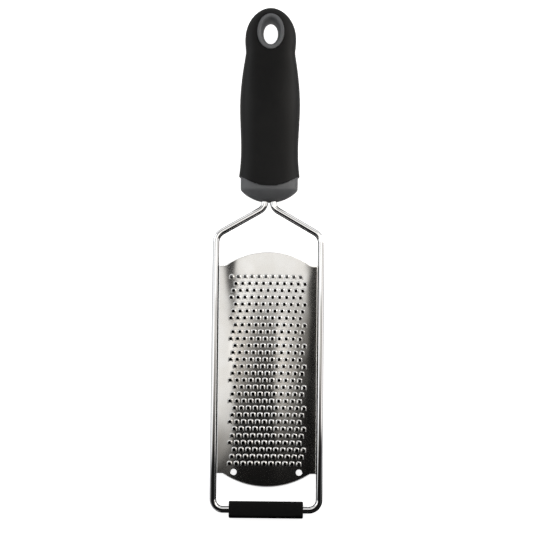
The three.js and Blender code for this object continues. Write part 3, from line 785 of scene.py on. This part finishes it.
def rubberFoot():
    # a rounded rectangle carried along the bar, drawn in by a rounded edge at both ends,
    # and back through its bore
    quarter = np.linspace(0, np.pi / 2, foot["cornerPoints"])
    angle = np.concatenate([quarter, quarter + np.pi / 2, quarter + np.pi, quarter + 3 * np.pi / 2])
    signY = np.repeat([1, -1, -1, 1], len(quarter))
    signZ = np.repeat([1, 1, -1, -1], len(quarter))
    turn = np.linspace(0, np.pi / 2, foot["edgePoints"])
    inset = foot["edge"] * np.concatenate([1 - np.sin(turn), 1 - np.sin(turn[::-1])])[:, None]
    end = foot["length"] / 2 - foot["edge"] * (1 - np.cos(turn))
    x = np.concatenate([-end, end[::-1]])[:, None] + 0 * angle
    corner = foot["corner"] - inset
    y = signY * (foot["depth"] / 2 - foot["corner"]) + corner * np.cos(angle)
    z = signZ * (foot["height"] / 2 - foot["corner"]) + corner * np.sin(angle)
    bearing = np.arctan2(z[0], y[0])
    boreEnds = np.array([[foot["length"] / 2], [-foot["length"] / 2]]) + 0 * angle
    x = np.concatenate([x, boreEnds, x[:1]])
    y = np.concatenate([y, np.tile(boreRadius * np.cos(bearing), (2, 1)), y[:1]])
    z = np.concatenate([z, np.tile(boreRadius * np.sin(bearing), (2, 1)), z[:1]])
    upright = lay(x, 0, 0)
    upright[..., 1] += y * mm
    upright[..., 2] += z * mm
    return [(upright, gridFaces(len(x), len(angle), True))]


wirePiece = place("bent_wire", shell("bent_wire", bentWire()),
                  "wire_frame", brightChrome(), wire["sharpFrom"])
place("toothed_plate", shell("toothed_plate", toothedPlate()),
      "grater_plate", satinSteel(), plate["sharpFrom"])
corePiece = place("grey_core", greyCore(),
                  "handle_core", greyPlastic(), core["sharpFrom"])
gripPiece = place("soft_grip", shell("soft_grip", softGrip()),
                  "grip_sleeve", softElastomer(), handle["sharpFrom"])
footPiece = place("rubber_foot", shell("rubber_foot", rubberFoot()),
                  "tip_foot", mouldedRubber(), foot["sharpFrom"])


def flatSheet(name, corners, finish):
    # one face between four corners, for the stage and not for the object
    mesh = bpy.data.meshes.new(name)
    mesh.from_pydata(corners, [], [(0, 1, 2, 3)])
    mesh.materials.append(finish)
    sheet = bpy.data.objects.new(name, mesh)
    bpy.context.scene.collection.objects.link(sheet)
    return sheet


def levelCorners(low, high, height):
    # a level rectangle, round from its low corner
    (west, south), (east, north) = low, high
    return [(west, south, height), (east, south, height), (east, north, height), (west, north, height)]


def edgeFrom(origin, edge):
    # start and end of an edge, counted from an origin
    return [origin + end for end in edge]


# start and end of each soft edge, in metres; the first five are measured from the plate's box; dark is the
# colour of a painted shadow under the tooth field
floor = dict(colour=(0.86, 0.86, 0.86), dark=(0.008, 0.008, 0.008), lift=0.85, mirrored=0.56,
             reach=3.0, sunk=0.0001,
             patchSide=(-0.006, 0.002), patchTip=(0.0116, 0.013), patchTop=(-0.014, -0.005),
             insideSide=(0, 0.002), insideTop=(0.02, 0.03),
             front=(-0.15, -0.11), leftSide=(-0.035, -0.03), leftShift=0.07)


def paleFloor():
    # white card, with a painted shadow: dark in colour under the tooth field;
    # metal shows it paler behind than in front, and painted shade makes it dark within the frame
    material, tree = newFinish("paleFloor")
    low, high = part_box("grater_plate")
    across = tree.axis("X")
    x = across.size()
    y = tree.axis("Y")
    # painted shadow: the floor's colour goes dark, and its white lift stops, under the tooth field where the
    # plate's shade falls
    paintedShadow = y.between(edgeFrom(low.y, floor["patchTip"]), edgeFrom(high.y, floor["patchTop"]))
    paintedShadow = paintedShadow * (1 - x.step(*edgeFrom(high.x, floor["patchSide"])))
    # painted shade: to metal the floor is dark within the frame, where the tool shades it
    outside = x.step(*edgeFrom(high.x, floor["insideSide"]))
    paintedShadeInside = (1 - outside) * (1 - y.step(*edgeFrom(high.y, floor["insideTop"])))
    shifted = y + floor["leftShift"] * (1 - across.step(*floor["leftSide"]))
    image = tree.glow(floor["mirrored"] * (1 - paintedShadeInside) * shifted.step(*floor["front"]))
    lift = (tree.ray("Is Camera Ray") + tree.ray("Is Transmission Ray")) * (1 - paintedShadow) * floor["lift"]
    colour = tree.colours(paintedShadow, floor["colour"], floor["dark"])
    card = tree.sum(tree.node("ShaderNodeBsdfDiffuse", {}, {"Color": colour}), tree.glow(lift))
    seen = tree.either(tree.ray("Is Glossy Ray"), card, image)
    below = tree.node("ShaderNodeNewGeometry", {}, {}, "Backfacing")
    tree.show(tree.either(below, seen, tree.clear()))  # clear from below
    return material


reach = floor["reach"]
floorSheet = flatSheet("floor", levelCorners((-reach, -reach), (reach, reach), -floor["sunk"]), paleFloor())

# The board over the object glows in panels, with soft edges in metres from the middle of the object.
board = dict(low=(-0.45, -0.25), high=(0.45, 0.34), height=0.31, level=1.2,
             warm=(1.0, 0.95, 0.88), white=(1.0, 0.99, 0.97))
overhead = dict(level=0.857, fade=0.0205, most=1.15, west=(-0.16, -0.135), east=(0.175, 0.21),
                north=(0.06, 0.14), kept=0.45, beside=(0.05, 0.09))
leftPanel = dict(level=1.1, east=(-0.195, -0.165), slant=0.085, slantOver=(-0.025, 0.05), shift=0.019,
                 south=(-0.125, -0.066), north=(0.2, 0.3))
rightPanel = dict(level=0.6, west=(0.25, 0.3), south=(-0.102, -0.085), north=(0.1, 0.2))
gripPanel = dict(level=2.2, west=(0.16, 0.21), south=(0.06, 0.12), north=(0.22, 0.3))
wash = dict(level=1.15, west=(-0.185, -0.155), fade=(-0.18, -0.045), south=(-0.085, -0.035),
            slant=0.25, north=(0.015, 0.045))
strip = dict(level=0.95, drop=0.4, dropOver=(0.07, 0.1), west=(0.032, 0.046), east=(0.1, 0.165),
             south=(-0.115, -0.035), north=(-0.03, 0.0))


def lightPanel(tree, strength, colour):
    # shines without hiding what is behind it
    tree.show(tree.sum(tree.clear(), tree.glow(strength, colour)))


def lightBoard():
    # an overhead panel that fades towards the tip and is dark over the grip,
    # panels beyond dark gaps at both sides, one beside the grip, a wash and a strip
    material, tree = newFinish("lightBoard")
    x = tree.axis("X")
    y = tree.axis("Y")
    fade = (overhead["level"] * math.e ** (y * (1 / overhead["fade"]))).least(overhead["most"])
    overGrip = y.step(*overhead["north"]) * (1 - overhead["kept"] * x.size().step(*overhead["beside"]))
    main = fade * (1 - overGrip) * x.between(overhead["west"], overhead["east"])
    edge = x + leftPanel["slant"] * y.ramp(*leftPanel["slantOver"]) - leftPanel["shift"]
    left = leftPanel["level"] * (1 - edge.step(*leftPanel["east"]))
    left = left * y.between(leftPanel["south"], leftPanel["north"])
    glow = main + left
    tint = tree.colours(glow.least(1.0), board["warm"], board["white"])
    for panel in (rightPanel, gripPanel):
        glow = glow + panel["level"] * x.step(*panel["west"]) * y.between(panel["south"], panel["north"])
    washed = wash["level"] * (1 - x.ramp(*wash["fade"])) * x.step(*wash["west"]) * y.step(*wash["south"])
    glow = glow + washed * (1 - (y - wash["slant"] * x).step(*wash["north"]))
    stripe = strip["level"] - strip["drop"] * x.step(*strip["dropOver"])
    stripe = stripe * x.between(strip["west"], strip["east"]) * y.between(strip["south"], strip["north"])
    lightPanel(tree, (glow + stripe) * board["level"], tint)
    return material


(west, south), (east, north) = board["low"], board["high"]
cardEdges = dict(clear=0.001, rise=0.03, handle=(0.06, 0.14))
cards = [
    dict(name="rightCard", ends=[(east, south), (east, north)], level=1.1, handle=2.8, begins=-0.075,
         tint=(1, 0.97, 0.94)),
    dict(name="leftCard", ends=[(west, south), (west, north)], level=0.98, handle=1.2, begins=-0.1,
         tint=(0.96, 0.98, 1)),
    dict(name="backCard", ends=[(west, north), (east, north)], level=0.95, handle=0.0, begins=-0.08,
         tint=(1, 1, 1)),
]


def lightCard(card):
    # an upright panel that begins at some distance from the tip, brighter beside the handle
    material, tree = newFinish(card["name"])
    y = tree.axis("Y")
    glow = card["level"] + card["handle"] * y.step(*cardEdges["handle"])
    lightPanel(tree, glow * y.step(card["begins"] - cardEdges["rise"], card["begins"]), card["tint"])
    return material


panels = [flatSheet("lightBoard", levelCorners(board["low"], board["high"], board["height"]), lightBoard())]
for card in cards:
    first, last = card["ends"]
    bottom, top = cardEdges["clear"], board["height"] - cardEdges["clear"]
    corners = [(*first, bottom), (*last, bottom), (*last, top), (*first, top)]
    panels.append(flatSheet(card["name"], corners, lightCard(card)))
for panel in panels:
    panel.visible_camera = False
    panel.visible_shadow = False

lamps = [
    dict(name="fill", place=(0, 0, 1.3), aim=(0, 0, 0), size=(1.6, 1.6), watts=6.0, forPlate=False),
    dict(name="front", place=(0, -0.62, 0.42), aim=(0, -0.07, 0), size=(1.6, 0.8), watts=1.0, forPlate=True),
]
unlit = bpy.data.collections.new("unlit")  # what the lamp for the plate leaves out
for thing in (wirePiece, corePiece, gripPiece, footPiece, floorSheet):
    unlit.objects.link(thing)
for entry in unlit.collection_objects:
    entry.light_linking.link_state = "EXCLUDE"
for box in lamps:
    lamp = bpy.data.lights.new(box["name"], "AREA")
    lamp.shape = "RECTANGLE"
    lamp.size, lamp.size_y = box["size"]
    lamp.energy = box["watts"]
    stand = bpy.data.objects.new(box["name"], lamp)
    stand.location = box["place"]
    towards = Vector(box["aim"]) - Vector(box["place"])
    stand.rotation_euler = towards.to_track_quat("-Z", "Y").to_euler()
    stand.visible_camera = False
    stand.visible_glossy = box["forPlate"]
    if box["forPlate"]:
        stand.light_linking.receiver_collection = unlit
    bpy.context.scene.collection.objects.link(stand)

room = dict(front=0.012, sides=0.08, above=0.008, sidesFrom=(-0.6, 0.05), topFrom=(0.5, 0.8))


def whiteRoom():
    # white to the camera; to all else dim walls, darker in front and overhead
    world = bpy.data.worlds.new("room")
    tree = Tree(world)
    ahead = tree.axis("Y", "Generated")
    above = tree.axis("Z", "Generated")
    wall = room["front"] + (room["sides"] - room["front"]) * ahead.step(*room["sidesFrom"])
    wall = wall * (1 - above.step(*room["topFrom"])) + room["above"]
    camera = tree.ray("Is Camera Ray")
    shine = tree.node("ShaderNodeBackground", {}, {"Strength": wall * (1 - camera) + camera})
    tree.node("ShaderNodeOutputWorld", {}, {"Surface": shine})
    return world


bpy.context.scene.world = whiteRoom()
print("floor, light board, lamps and world")

shot = dict(aim=(-1.12, -3.46, 10.0), distance=1600.0, elevation=81.58, roll=0.606, lens=181.55, clipEnd=20)
optics = bpy.data.cameras.new("camera")
optics.lens = shot["lens"]
optics.clip_end = shot["clipEnd"]
camera = bpy.data.objects.new("camera", optics)
bpy.context.scene.collection.objects.link(camera)
tilt = Matrix.Rotation(math.radians(90 - shot["elevation"]), 4, "X")
twist = Matrix.Rotation(math.radians(shot["roll"]), 4, "Z")
back = tilt @ Vector((0, 0, shot["distance"] * mm))
camera.matrix_world = Matrix.Translation(Vector(shot["aim"]) * mm + back) @ tilt @ twist
bpy.context.scene.camera = camera
bpy.context.scene.view_settings.view_transform = "Standard"
print(f"camera at {shot['elevation']} degrees")
